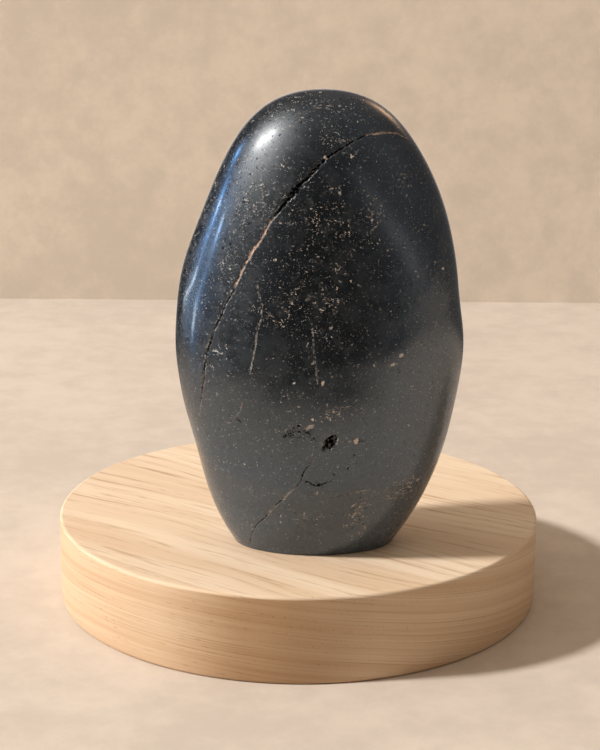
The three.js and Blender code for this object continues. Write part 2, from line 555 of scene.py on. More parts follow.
        # Painted highlights: pale bits along the pits' rims and grey bits on their near-black floors,
        # which are painted shade.
        painted_glint = graph.ramp(graph.noise(where, 1.5, 2.0, 0.6), 0.5, 0.57)
        rim = graph.times(graph.ramp(pit, 0.1, 0.22), painted_glint)
        colour = graph.mix(graph.times(rim, self.rim_strength), colour, self.pale)
        painted_glint = graph.times(painted_glint, graph.ramp(pit, 1.2, 0.6))
        colour = graph.mix(floor, colour, graph.mix(painted_glint, self.painted_hollow_shade, self.grey))
        gap, tint, _ = graph.split(graph.attribute("chip", "Vector"))
        gap = graph.plus(gap, graph.times(ragged, 2.2))
        chip = graph.times(graph.ramp(gap, 1.0, 0.75), 0.85)
        colour = graph.mix(chip, colour, graph.mix(tint, self.pale, self.orange))
        return colour, chip, graph.times(floor, graph.minus(1.0, chip))


@dataclass(frozen=True)
class WoodFinish:
    """Pale sanded wood: thin growth layers that lie almost flat, with fibre and pores along them.

    The layers tilt across the grain, so that they show as lines both on the top and on the side.
    The side is sawn across them. Its front is darker than its ends, as the photo shows it; that
    darker front is painted shade.
    """

    slot: str = "stand_wood"
    light: Colour = (0.88, 0.73, 0.565)
    warm: Colour = (0.75, 0.56, 0.39)
    dark: Colour = (0.5, 0.32, 0.185)
    # Tones laid over the sawn side: the darker front one is painted shade.
    side_ends: Colour = (0.88, 0.82, 0.75)
    painted_shade_side_front: Colour = (0.6, 0.49, 0.38)
    painted_shade_across: float = -7.0
    painted_shade_reach: float = 28.0
    side_top: float = 21.6
    grain_turn: float = -33.0
    layer_tilt: float = 5.0
    layer_bend: float = 22.0
    roughness: float = 0.6
    bump_strength: float = 0.3
    bump_depth: float = 0.12

    def material(self) -> bpy.types.Material:
        """Builds the wood's material and gives it."""
        made, graph, shader = new_material("pale_wood")
        where = graph.millimetres()
        turned = graph.node("ShaderNodeMapping", Vector=where,
                            Rotation=(0.0, 0.0, -math.radians(self.grain_turn))).outputs[0]
        along, across, height = graph.split(turned)
        slow = graph.noise(graph.vector("MULTIPLY", turned, (0.007, 0.02, 0.02)), 1.0, 2.0)
        bend = graph.times(graph.minus(slow, NOISE_MIDDLE), self.layer_bend)
        layer = graph.plus(graph.plus(across, bend), graph.times(height, self.layer_tilt))

        def layered(length: float, depth: float, detail: float, shift: float) -> Socket:
            """Gives noise of a scale along the grain and across the layers, in its own place."""
            drawn = graph.node("ShaderNodeCombineXYZ", X=graph.times(along, length),
                               Y=graph.times(layer, depth), Z=shift)
            return graph.noise(drawn.outputs[0], 1.0, detail, 0.6)

        broad = layered(0.006, 0.06, 3.0, 1.0)
        lines = layered(0.018, 0.42, 3.0, 2.0)
        streaks = layered(0.03, 0.75, 2.0, 7.0)
        fibre = layered(0.06, 2.2, 3.0, 5.0)
        pores = graph.noise(graph.vector("MULTIPLY", turned, (0.2, 2.4, 2.4)), 1.0, 2.0, 0.5)
        pore = graph.times(graph.ramp(pores, 0.58, 0.7), graph.ramp(lines, 0.45, 0.6))

        colour = graph.mix(graph.ramp(broad, 0.34, 0.7), self.light, self.warm)
        streak = graph.times(graph.ramp(streaks, 0.53, 0.66), graph.ramp(lines, 0.42, 0.62))
        for share, tone in (
            (graph.times(graph.ramp(lines, 0.48, 0.66), 0.7), self.warm),
            (graph.times(streak, 0.75), self.dark),
            (graph.times(graph.ramp(fibre, 0.48, 0.66), 0.5), self.warm),
            (graph.times(pore, 0.55), self.dark),
        ):
            colour = graph.mix(share, colour, tone)
        # Painted shade: the side's colour is darkened towards its front and is lighter towards its
        # ends.
        on_side = graph.ramp(height, self.side_top, self.side_top - 0.5)
        apart = graph.math("ABSOLUTE", graph.minus(graph.split(where)[0], self.painted_shade_across))
        painted_shade_near_front = graph.ramp(apart, self.painted_shade_reach, 4.0)
        side_tone_and_painted_shade = graph.mix(painted_shade_near_front, self.side_ends, self.painted_shade_side_front)
        colour = graph.mix(on_side, colour, graph.vector("MULTIPLY", colour, side_tone_and_painted_shade))
        graph.feed(shader.inputs["Base Color"], colour)
        graph.feed(shader.inputs["Roughness"],
                   graph.ramp(fibre, 0.2, 0.8, self.roughness - 0.08, self.roughness + 0.12))
        relief = graph.minus(graph.times(fibre, 0.3), pore)
        bump = graph.bump(relief, self.bump_strength, self.bump_depth)
        graph.feed(shader.inputs["Normal"], bump)
        return made


@dataclass(frozen=True)
class StageFinish:
    """A plain matt colour for the floor or the wall behind.

    A one-sided sheet shows on its front only. A fading one is mirrored less towards its rim, which
    its UV map puts at a distance of 1.
    """

    name: str
    colour: Colour
    one_sided: bool = False
    fades: bool = False
    roughness: float = 0.75
    specular_level: float = 0.2
    mottling: float = 0.07
    fade_from: float = 0.38

    def material(self) -> bpy.types.Material:
        """Builds the material and gives it."""
        made, graph, shader = new_material(self.name)
        where = graph.millimetres()
        broad = graph.noise(where, 0.014, 3.0, 0.6)
        cloud = graph.blend(0.5, broad, graph.noise(where, 0.09, 6.0, 0.7))
        lighter = tuple(min(1.0, value * (1 + self.mottling)) for value in self.colour)
        darker = tuple(value * (1 - self.mottling) for value in self.colour)
        mottled = graph.mix(graph.ramp(cloud, 0.38, 0.62), darker, lighter)
        graph.feed(shader.inputs["Base Color"], mottled)
        shader.inputs["Roughness"].default_value = self.roughness
        shader.inputs["Specular IOR Level"].default_value = self.specular_level
        if self.one_sided:
            clear_share = graph.node("ShaderNodeNewGeometry").outputs["Backfacing"]
        elif self.fades:
            rim = graph.vector("LENGTH", graph.node("ShaderNodeUVMap").outputs["UV"])
            mirrored = graph.node("ShaderNodeLightPath").outputs["Is Glossy Ray"]
            clear_share = graph.times(mirrored, graph.ramp(rim, self.fade_from, 1.0))
        else:
            return made
        clear = graph.node("ShaderNodeBsdfTransparent")
        both = graph.node("ShaderNodeMixShader")
        graph.feed(both.inputs[0], clear_share)
        graph.feed(both.inputs[1], shader.outputs[0])
        graph.feed(both.inputs[2], clear.outputs[0])
        graph.feed(made.node_tree.nodes["Material Output"].inputs["Surface"], both.outputs[0])
        return made


@dataclass(frozen=True)
class Flat:
    """A broad soft flat of the polish: the way it faces and its distance from the middle."""

    turn: float
    tilt: float
    reach: float


@dataclass(frozen=True)
class Wave:
    """A shallow wave of the polish, as a share of the local reach."""

    along: Colour
    phase: float
    height: float


@dataclass(frozen=True)
class Station:
    """A point of a crack on the face: place, half width in millimetres, and what fills it."""

    across: float
    above: float
    half: float
    filling: Filling


@dataclass(frozen=True)
class Pit:
    """A hole in the face: place, half sizes, and how far its top leans to the viewer's right."""

    across: float
    above: float
    wide: float
    high: float
    deep: float
    lean: float = 0.0


@dataclass(frozen=True)
class Chip:
    """A large single chip in the face: place, half sizes, lean and colour."""

    across: float
    above: float
    wide: float
    high: float
    lean: float
    tint: Tint


@dataclass(frozen=True)
class Cluster:
    """A patch where chips are dense: middle, half sizes, lean and strength."""

    across: float
    above: float
    wide: float
    high: float
    strength: float
    lean: float = 0.0


def crack(*runs: tuple) -> tuple[Station, ...]:
    """Strings a crack together from runs of one filling each: the filling, then its points."""
    return tuple(Station(*point, filling) for filling, *points in runs for point in points)


def clusters(*rows: tuple[float, ...]) -> tuple[Cluster, ...]:
    """Makes patches from rows of their values."""
    return tuple(Cluster(*row) for row in rows)


OPEN, MINERAL, BRAIDED, SPOTTED, FAINT = Filling

CRACKS: tuple[tuple[Station, ...], ...] = (
    crack(
        (MINERAL, (25.6, 101.4, 0.08), (22.1, 103.1, 0.16), (19.0, 103.5, 0.24), (16.1, 103.3, 0.24)),
        (OPEN, (14.6, 103.0, 0.2), (11.5, 101.8, 0.3), (8.8, 100.1, 0.26), (5.6, 98.2, 0.46),
         (2.8, 95.2, 0.56), (-0.8, 91.6, 0.8), (-3.3, 88.4, 0.7), (-5.2, 86.0, 0.54)),
        (MINERAL, (-7.0, 83.5, 0.26), (-9.1, 79.4, 0.32), (-10.8, 77.2, 0.34), (-12.7, 73.5, 0.32),
         (-14.8, 68.7, 0.34)),
        (BRAIDED, (-15.4, 67.4, 0.46), (-17.3, 64.0, 0.46), (-18.6, 60.7, 0.36), (-19.6, 58.7, 0.38),
         (-20.5, 56.1, 0.42), (-21.2, 53.8, 0.44), (-22.0, 51.3, 0.42), (-22.5, 48.4, 0.38)),
        (SPOTTED, (-22.8, 44.1, 0.34), (-23.3, 40.7, 0.3), (-23.6, 38.6, 0.18), (-24.2, 34.1, 0.06)),
    ),
    crack(
        (BRAIDED, (-21.4, 51.9, 0.2), (-19.8, 52.4, 0.2), (-17.9, 51.6, 0.12)),
    ),
    crack(
        (BRAIDED, (-21.9, 50.0, 0.18), (-20.6, 48.0, 0.16)),
        (FAINT, (-20.5, 45.2, 0.08)),
    ),
    crack(
        (FAINT, (-9.9, 69.6, 0.08)),
        (BRAIDED, (-9.7, 67.8, 0.11), (-8.8, 63.5, 0.13), (-9.0, 61.2, 0.14), (-9.9, 58.5, 0.11)),
        (FAINT, (-10.2, 55.2, 0.12), (-11.0, 51.0, 0.1), (-11.8, 47.3, 0.06)),
    ),
    crack(
        (FAINT, (3.0, 60.0, 0.08)),
        (BRAIDED, (3.1, 58.1, 0.11), (3.3, 55.0, 0.12), (3.7, 51.4, 0.12)),
        (FAINT, (4.2, 47.3, 0.1), (4.4, 45.5, 0.05)),
    ),
    crack(
        (SPOTTED, (3.8, 27.8, 0.08), (3.4, 26.6, 0.16)),
        (OPEN, (1.9, 25.0, 0.14), (1.1, 23.5, 0.16), (0.6, 21.4, 0.2)),
        (SPOTTED, (-0.8, 19.4, 0.19)),
        (FAINT, (-2.7, 17.4, 0.19)),
        (BRAIDED, (-4.6, 15.3, 0.2)),
        (FAINT, (-6.6, 12.6, 0.2)),
        (BRAIDED, (-8.1, 10.4, 0.2)),
        (SPOTTED, (-9.3, 9.1, 0.2)),
        (OPEN, (-10.8, 6.7, 0.19)),
        (SPOTTED, (-11.3, 4.7, 0.16)),
        (OPEN, (-12.0, 1.7, 0.14)),
    ),
    crack(
        (OPEN, (0.9, 21.4, 0.16), (2.6, 21.0, 0.15), (4.1, 20.2, 0.2), (5.6, 20.6, 0.2),
         (7.0, 21.2, 0.15), (8.7, 21.4, 0.08)),
    ),
    crack(
        (OPEN, (7.0, 16.6, 0.05), (10.5, 17.4, 0.1)),
        (FAINT, (13.9, 18.0, 0.08), (18.0, 18.5, 0.05)),
    ),
    crack(
        (MINERAL, (-13.2, 41.0, 0.06)),
        (SPOTTED, (-14.0, 38.2, 0.14), (-15.0, 36.8, 0.18)),
        (OPEN, (-16.2, 35.4, 0.12)),
        (FAINT, (-17.4, 34.1, 0.06)),
    ),
    crack(
        (OPEN, (-15.0, 36.8, 0.16), (-14.0, 35.7, 0.14)),
        (FAINT, (-12.6, 34.6, 0.06)),
    ),
    crack(
        (OPEN, (9.0, 31.6, 0.1), (10.8, 31.6, 0.08)),
        (FAINT, (13.0, 31.9, 0.06)),
    ),
)

PITS: tuple[Pit, ...] = (
    Pit(7.5, 31.4, 1.3, 2.2, 1.8, 40.0),
    Pit(2.4, 35.1, 1.4, 0.55, 0.35, -28.0),
    Pit(0.1, 35.6, 0.5, 0.35, 0.4, 20.0),
    Pit(-1.6, 33.2, 0.55, 0.3, 0.4, -20.0),
    Pit(-3.2, 33.0, 0.5, 0.35, 0.4),
    Pit(13.2, 28.1, 0.24, 0.24, 0.3),
    Pit(11.8, 24.8, 0.32, 0.3, 0.35),
    Pit(8.5, 23.3, 0.3, 0.24, 0.3),
    Pit(5.0, 20.4, 0.5, 0.3, 0.35, -10.0),
)

CHIPS: tuple[Chip, ...] = (
    Chip(13.6, 31.7, 0.6, 0.75, 20.0, Tint.ORANGE),
    Chip(5.6, 46.4, 0.4, 0.75, 15.0, Tint.ORANGE),
    Chip(5.6, 98.4, 0.5, 0.4, 40.0, Tint.ORANGE),
    Chip(2.6, 35.3, 1.1, 0.55, -30.0, Tint.PALE),
    Chip(23.9, 52.3, 0.7, 0.5, -20.0, Tint.PALE),
    Chip(22.0, 50.2, 0.8, 0.4, -20.0, Tint.PALE),
    Chip(3.3, 37.3, 0.4, 0.4, 0.0, Tint.ORANGE),
    Chip(33.8, 71.5, 0.5, 0.35, 0.0, Tint.ORANGE),
)

BROWN_PATCHES = clusters(
    (6.8, 83.8, 8.5, 3.6, 0.74, 4.0), (17.1, 86.0, 2.2, 3.6, 0.6), (7.2, 91.1, 1.6, 1.4, 0.6),
    (-2.4, 66.0, 4.8, 3.6, 0.74), (-6.9, 60.9, 2.6, 1.2, 0.7), (6.7, 65.8, 3.2, 3.4, 0.72),
    (9.1, 73.3, 2.0, 1.6, 0.7), (-4.1, 60.0, 1.2, 0.9, 0.7), (10.8, 39.1, 6.4, 2.2, 0.95, -12.0),
    (-6.8, 34.7, 4.4, 0.9, 0.5, 14.0), (25.3, 17.6, 5.2, 2.6, 1.0, -18.0),
    (-6.8, 21.0, 2.0, 0.9, 0.5, 20.0), (15.0, 11.0, 2.2, 5.6, 0.9),
    (-15.7, 75.3, 1.4, 2.2, 0.5, -20.0), (-8.7, 91.5, 1.0, 0.9, 0.7), (6.7, 109.1, 8.0, 1.8, 0.45),
    (34.4, 69.8, 1.6, 6.5, 0.5), (-11.4, 17.4, 2.8, 0.9, 0.45, 25.0),
    (33.0, 42.5, 3.0, 1.6, 0.5, -30.0), (5.0, 74.0, 18.0, 24.0, 0.07),
)

GREY_PATCHES = clusters(
    (-11.5, 88.7, 7.0, 9.5, 0.55, 14.0), (-21.5, 90.0, 2.4, 14.0, 0.5, 18.0),
    (-27.5, 72.0, 2.0, 10.0, 0.45, 12.0), (-17.0, 72.5, 3.4, 6.5, 0.5, 14.0),
    (-29.0, 56.0, 1.6, 9.0, 0.35), (-11.9, 63.1, 3.4, 4.8, 0.34), (5.3, 65.0, 6.0, 6.5, 0.24),
    (17.1, 86.0, 2.4, 3.6, 0.5), (19.9, 84.6, 1.2, 1.2, 0.8), (23.2, 92.9, 3.6, 2.0, 0.7),
    (21.7, 98.6, 1.2, 2.6, 0.7), (11.3, 99.3, 2.2, 1.6, 0.65), (8.1, 102.6, 4.0, 1.5, 0.7, 14.0),
    (0.0, 108.6, 15.0, 3.4, 0.5), (-3.6, 42.5, 5.6, 1.0, 0.7), (2.6, 9.6, 5.0, 3.6, 0.6),
    (15.0, 10.5, 2.2, 5.6, 0.8), (25.1, 17.1, 5.5, 3.2, 0.85, -18.0), (33.6, 41.9, 3.0, 1.8, 0.5),
    (6.5, 57.3, 4.4, 1.6, 0.55), (27.1, 58.0, 4.5, 8.0, 0.28), (0.0, 33.6, 4.6, 1.6, 0.55, 12.0),
    (26.0, 76.0, 7.0, 10.0, 0.28), (-4.0, 82.0, 26.0, 28.0, 0.2),
)

POCK_PATCHES = clusters(
    (-0.6, 33.6, 4.4, 1.5, 1.1, 10.0), (4.4, 20.4, 1.5, 0.8, 1.0),
    (-24.0, 88.0, 2.4, 14.0, 0.5, 18.0), (-28.0, 70.0, 2.4, 12.0, 0.5, 12.0),
    (-12.0, 76.0, 7.0, 7.0, 0.35, 14.0), (13.6, 31.6, 3.0, 0.8, 0.6),
)


@dataclass(frozen=True)
class Trace:
    """A crack's close samples: points, sideways directions, half widths and looks."""

    points: np.ndarray
    sideways: np.ndarray
    half: np.ndarray
    look: np.ndarray


@dataclass
class Stone:
    """The tourmaline: its worked shape, its cracks, pits and chips, and its polish."""

    node: str = "tourmaline"
    across: float = 4.8
    forward: float = 24.0
    middle_above_foot: float = 52.0
    outline: tuple[float, ...] = (
        62.8, 54.5, 42.9, 36.4, 35.4, 37.1, 42.9, 53.5,
        63.1, 55.3, 42.0, 36.2, 35.2, 36.8, 41.4, 52.9,
    )
    half_depth: float = 20.5
    flats: tuple[Flat, ...] = (
        Flat(0, 4, 21.5), Flat(-38, 6, 27), Flat(41, -6, 27), Flat(150, -8, 26), Flat(180, 2, 21),
        Flat(0, 88, 64),
    )
    sharpness: float = 14.0
    waves: tuple[Wave, ...] = (
        Wave((0.9, 0.3, 2.6), 0.4, 0.0022),
        Wave((-2.1, 1.4, 3.9), 1.7, 0.0016),
        Wave((3.2, -2.3, -1.2), 2.9, 0.0016),
    )
    foot_round: float = 0.7
    foot_steps: int = 4
    ball_level: int = 7
    fine_gap: float = 0.9
    fine_edge: float = 0.2
    near_gap: float = 2.2
    near_edge: float = 0.42
    sample_step: float = 0.12
    wander: float = 0.16
    reach_of_look: float = 2.6
    deepest: float = 0.6
    deepest_from: float = 0.35
    least_carved: float = 0.1
    carved_share: float = 0.7
    raggedness: float = 0.9
    end_taper: float = 0.8
    normal_step: float = 0.02
    halvings: int = 40
    refinements: int = 4
    longest_edge: float = 1.4
    brown_ground: float = 0.04
    grey_ground: float = 0.03
    pock_ground: float = 0.1
    back_density: float = 0.45
    far: float = 9.0
    finish: StoneFinish = field(default_factory=StoneFinish)

    def __post_init__(self) -> None:
        """Finds the foot's height on the stand and the middle of the stone."""
        self.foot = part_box("wooden_stand")[1].z / MM
        self.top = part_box(self.node)[1].z / MM
        self.middle = np.array([self.across, -self.forward, self.foot + self.middle_above_foot])
        self.normals = np.array([direction(flat.turn, flat.tilt)[:] for flat in self.flats])

    def reach(self, clock: np.ndarray) -> np.ndarray:
        """Gives the outline's reach at clock angles, 0 up and growing to the viewer's right."""
        count = len(self.outline)
        total = np.zeros_like(clock)
        for index, value in enumerate(self.outline):
            half = (clock - 2 * math.pi * index / count) / 2
            on_point = np.abs(np.sin(half)) < TINY
            tangent = np.where(on_point, 1.0, np.tan(half))
            part = np.sin(count * half) / (count * tangent)
            total += value * np.where(on_point, 1.0, part)
        return total

    def share(self, points: np.ndarray) -> np.ndarray:
        """Tells how far out points lie.

        Args:
            points: rows in the frame, in millimetres.

        Returns:
            The share of the way from the stone's middle to its surface, for each point.
        """
        local = points - self.middle
        x, y, z = local.T
        outline = np.hypot(x, z) / self.reach(np.arctan2(x, z))
        total = np.hypot(outline, y / self.half_depth) ** self.sharpness
        for flat, normal in zip(self.flats, self.normals):
            total += np.maximum(0.0, local @ normal / flat.reach) ** self.sharpness
        lengths = np.maximum(np.linalg.norm(local, axis=1), TINY)
        swell = np.ones(len(local))
        for wave in self.waves:
            along = (local / lengths[:, None]) @ np.array(wave.along)
            swell += wave.height * np.sin(along * math.pi + wave.phase)
        return total ** (1 / self.sharpness) / swell

    def settle(self, points: np.ndarray) -> np.ndarray:
        """Moves points to the surface, straight away from the stone's middle."""
        settled = self.middle + (points - self.middle) / self.share(points)[:, None]
        settled[:, 2] = np.minimum(settled[:, 2], self.top)
        return settled

    def surface_normals(self, points: np.ndarray) -> np.ndarray:
        """Gives the surface's outward direction at points near it."""
        steps = np.eye(3) * self.normal_step
        slopes = [self.share(points + step) - self.share(points - step) for step in steps]
        normals = np.stack(slopes, axis=1)
        return normals / np.linalg.norm(normals, axis=1)[:, None]

    def face_points(self, across: np.ndarray, above: np.ndarray) -> np.ndarray:
        """Finds the face's points at places across it and above its foot.

        Args:
            across: x of each place in the frame.
            above: height of each place above the foot.

        Returns:
            Rows of points on the surface.
        """
        inside = np.zeros(len(across))
        outside = np.full(len(across), 2 * self.half_depth)
        for _ in range(self.halvings):
            depth = (inside + outside) / 2
            points = np.stack([across, self.middle[1] - depth, self.foot + above], axis=1)
            within = self.share(points) < 1
            inside = np.where(within, depth, inside)
            outside = np.where(within, outside, depth)
        return points

    def trace(self, stations: tuple[Station, ...]) -> Trace:
        """Lays a crack's stations on the face as close samples with a slight wander.

        Args:
            stations: the crack's stations in order.

        Returns:
            The samples.
        """
        places = np.array([(s.across, s.above) for s in stations])
        steps = np.linalg.norm(np.diff(places, axis=0), axis=1)
        along = np.concatenate([[0.0], np.cumsum(steps)])
        count = max(4, int(along[-1] / self.sample_step))
        at = np.linspace(0.0, along[-1], count)
        across, above = (np.interp(at, along, places[:, i]) for i in (0, 1))
        for index, distance in enumerate(at):
            key = Vector((distance * 0.55, places[0, 0], places[0, 1]))
            across[index] += self.wander * noise.noise(key)
            above[index] += self.wander * noise.noise(key + Vector((0, 0, 19)))
            across[index] += 0.4 * self.wander * noise.noise(key * 4)
        points = self.face_points(across, above)
        tangents = np.gradient(points, axis=0)
        tangents /= np.linalg.norm(tangents, axis=1)[:, None]
        sideways = np.cross(self.surface_normals(points), tangents)
        half = np.interp(at, along, [s.half for s in stations])
        ends = np.minimum(at, at[-1] - at)
        half = half * np.clip(ends / self.end_taper, 0.0, 1.0)
        looks = np.array([s.filling.value for s in stations])
        look = np.stack([np.interp(at, along, looks[:, i]) for i in range(3)], axis=1)
        return Trace(points, sideways, half, look)

    def ball(self, traces: list[Trace]) -> bmesh.types.BMesh:
        """Shapes the whole pebble, with a fine mesh along the cracks, pits and chips.

        Args:
            traces: the cracks' samples.

        Returns:
            The closed mesh, in millimetres.
        """
        bm = bmesh.new()
        bmesh.ops.create_icosphere(bm, subdivisions=self.ball_level, radius=1.0)
        size = (self.outline[4], self.half_depth, self.outline[0])
        bmesh.ops.scale(bm, vec=size, verts=bm.verts)
        bmesh.ops.translate(bm, vec=self.middle, verts=bm.verts)
        place(bm, self.settle(coordinates(bm)))
        spots = [trace.points for trace in traces]
        for item in (*PITS, *CHIPS):
            rings = [(share * math.cos(angle), share * math.sin(angle)) for share in (0.0, 0.6, 1.0)
                     for angle in np.linspace(0, 2 * math.pi, 9)[:-1]]
            across = np.array([item.across + item.wide * c for c, _ in rings])
            above = np.array([item.above + item.high * s for _, s in rings])
            spots.append(self.face_points(across, above))
        tree = search_tree(np.concatenate(spots))
        front = self.middle[1]
        for _ in range(self.refinements):
            chosen = []
            for edge in bm.edges:
                middle = (edge.verts[0].co + edge.verts[1].co) / 2
                if middle.y > front:
                    continue
                gap = tree.find(middle)[2]
                length = edge.calc_length()
                if gap < self.fine_gap and length > self.longest_edge * self.fine_edge:
                    chosen.append(edge)
                elif gap < self.near_gap and length > self.longest_edge * self.near_edge:
                    chosen.append(edge)
            if not chosen:
                break
            bmesh.ops.subdivide_edges(bm, edges=chosen, cuts=1, use_grid_fill=True)
            bmesh.ops.triangulate(bm, faces=bm.faces[:])
            place(bm, self.settle(coordinates(bm)))
        return bm

    def carve(self, bm: bmesh.types.BMesh, traces: list[Trace]) -> None:
        """Sinks the open cracks and the pits into the face.

        Args:
            bm: the pebble's mesh.
            traces: the cracks' samples.
        """
        points = coordinates(bm)
        front = np.nonzero(points[:, 1] < self.middle[1])[0]
        normals = np.zeros_like(points)
        normals[front] = self.surface_normals(points[front])
        depth = np.zeros(len(points))
        for trace in traces:
            tree = search_tree(trace.points)
            for index in front:
                _, nearest, gap = tree.find(points[index])
                half = trace.half[nearest]
                if half < self.least_carved or gap > 3 * half:
                    continue
                ragged = noise.noise(Vector(points[index]) * 1.1) * self.raggedness * half
                inward = 1 - ((gap + ragged) / (self.carved_share * half)) ** 2
                sunk = self.deepest * trace.look[nearest][2] * min(1.0, half / self.deepest_from)
                depth[index] = max(depth[index], sunk * max(0.0, inward))
        for pit in PITS:
            inner = self.spot_share(points[front], pit)
            rough = np.array([noise.noise(Vector(p) * 0.9) * 0.35 + noise.noise(Vector(p) * 2.3) * 0.2
                              if share < 2 else 0.0 for p, share in zip(points[front], inner)])
            sunk = pit.deep * np.sqrt(np.clip(1 - (inner + rough) ** 2, 0, 1))
            depth[front] = np.maximum(depth[front], sunk)
        place(bm, points - normals * depth[:, None])

    def spot_share(self, points: np.ndarray, spot: Pit | Chip | Cluster) -> np.ndarray:
        """Tells how far points lie from a spot's middle, as a share of its half sizes."""
        lean = math.radians(spot.lean)
        across = points[:, 0] - spot.across
        above = points[:, 2] - self.foot - spot.above
        wide = across * math.cos(lean) - above * math.sin(lean)
        high = across * math.sin(lean) + above * math.cos(lean)
        return np.hypot(wide / spot.wide, high / spot.high)

    def stand_flat(self, bm: bmesh.types.BMesh) -> None:
        """Cuts the pebble off at the foot and turns its sharp rim over a small round.

        Args:
            bm: the pebble's mesh.
        """
        top = self.foot + self.foot_round
        bmesh.ops.bisect_plane(bm, geom=bm.verts[:] + bm.edges[:] + bm.faces[:],
                               plane_co=(0, 0, top), plane_no=(0, 0, -1), clear_outer=True)
        bmesh.ops.remove_doubles(bm, verts=[vert for vert in bm.verts if vert.is_boundary], dist=0.2)
        rim = [edge for edge in bm.edges if edge.is_boundary]
        step_angle = math.pi / 2 / self.foot_steps
        for step in range(1, self.foot_steps + 1):
            made = bmesh.ops.extrude_edge_only(bm, edges=rim)["geom"]
            ring = [item for item in made if isinstance(item, bmesh.types.BMVert)]
            rim = [item for item in made if isinstance(item, bmesh.types.BMEdge) and item.is_boundary]
            angle = step_angle * step
            height = self.foot + self.foot_round * (1 - math.sin(angle))
            inward = self.foot_round * (math.cos(angle - step_angle) - math.cos(angle))
            for vert in ring:
                away = Vector((vert.co.x - self.middle[0], vert.co.y - self.middle[1], 0))
                vert.co -= away.normalized() * inward
                vert.co.z = height
        bmesh.ops.contextual_create(bm, geom=rim)
        bmesh.ops.triangulate(bm, faces=[face for face in bm.faces if len(face.verts) > 3])
        bmesh.ops.recalc_face_normals(bm, faces=bm.faces)

    def paint(self, mesh: bpy.types.Mesh, traces: list[Trace]) -> None:
        """Writes the attributes that the polish reads.

        Args:
            mesh: the finished mesh, in metres.
            traces: the cracks' samples.
        """
        count = len(mesh.vertices)
        points = np.zeros(count * 3)
        mesh.vertices.foreach_get("co", points)
        points = points.reshape(-1, 3) / MM
        front = points[:, 1] < self.middle[1]
        for name, patches, ground in (
            ("brown_chips", BROWN_PATCHES, self.brown_ground),
            ("grey_chips", GREY_PATCHES, self.grey_ground),
            ("pocks", POCK_PATCHES, self.pock_ground),
        ):
            self.write(mesh, name, self.density(points, front, patches, ground))
        pit = np.zeros(count)
        for spot in PITS:
            inner = self.spot_share(points, spot)
            pit = np.maximum(pit, np.where(front, np.clip(1.25 - inner, 0, 1), 0))
        self.write(mesh, "pit", pit)
        chip = np.full((count, 3), self.far)
        for spot in CHIPS:
            inner = np.where(front, self.spot_share(points, spot), self.far)
            closer = inner < chip[:, 0]
            chip[closer, 0] = inner[closer]
            chip[closer, 1] = spot.tint.value
        self.write(mesh, "chip", chip)
        self.paint_seams(mesh, points, front, traces)

    def density(self, points: np.ndarray, front: np.ndarray, patches: tuple[Cluster, ...],
                ground: float) -> np.ndarray:
        """Adds up how dense the chips are at points.

        Args:
            points: rows in the frame, in millimetres.
            front: which points are on the face.
            patches: the dense patches of the face.
            ground: the share of chips everywhere.

        Returns:
            The density at each point.
        """
        total = np.full(len(points), ground)
        for patch in patches:
            gap = self.spot_share(points, patch)
            total += np.where(front, patch.strength * np.exp(-gap ** 2), 0.0)
        behind = np.array([noise.noise(Vector(p) * 0.055) for p in points])
        total += np.where(front, 0.0, self.back_density * np.clip(behind, 0.0, 1.0))
        return total

    def paint_seams(self, mesh: bpy.types.Mesh, points: np.ndarray, front: np.ndarray,
                    traces: list[Trace]) -> None:
        """Writes, on each face's corners, where it lies on its nearest crack and how that looks.

        Args:
            mesh: the finished mesh.
            points: its points in millimetres.
            front: which points are on the face.
            traces: the cracks' samples.
        """
        count = len(points)
        gaps = np.full((len(traces), count), math.inf)
        seams = np.zeros((len(traces), count, 3))
        looks = np.zeros((len(traces), count, 3))
        near = np.nonzero(front)[0]
        for row, trace in enumerate(traces):
            low = trace.points.min(axis=0) - self.reach_of_look
            high = trace.points.max(axis=0) + self.reach_of_look
            within = near[np.all((points[near] > low) & (points[near] < high), axis=1)]
            tree = search_tree(trace.points)
            for index in within:
                _, nearest, gap = tree.find(points[index])
                if gap > self.reach_of_look:
                    continue
                offset = points[index] - trace.points[nearest]
                gaps[row, index] = gap
                side = float(offset @ trace.sideways[nearest])
                seams[row, index] = (side, trace.half[nearest], 0.0)
                looks[row, index] = trace.look[nearest]
        corners = np.zeros(len(mesh.loops), dtype=int)
        mesh.loops.foreach_get("vertex_index", corners)
        triangles = corners.reshape(-1, 3)
        reach = gaps[:, triangles].max(axis=2)
        best = reach.argmin(axis=0)
        found = reach.min(axis=0) < self.reach_of_look
        seam = np.zeros((len(triangles), 3, 3))
        look = np.zeros((len(triangles), 3, 3))
        seam[found] = seams[best[found, None], triangles[found]]
        look[found] = looks[best[found, None], triangles[found]]
        seam[~found, :, 0] = self.far
        for name, values in (("seam", seam), ("seam_look", look)):
            layer = mesh.attributes.new(name, "FLOAT_VECTOR", "CORNER")
            layer.data.foreach_set("vector", values.astype(np.float32).ravel())

    @staticmethod
    def write(mesh: bpy.types.Mesh, name: str, values: np.ndarray) -> None:
        """Stores one number or vector for each of a mesh's points."""
        kind, item = ("FLOAT", "value") if values.ndim == 1 else ("FLOAT_VECTOR", "vector")
        layer = mesh.attributes.new(name, kind, "POINT")
        layer.data.foreach_set(item, values.astype(np.float32).ravel())

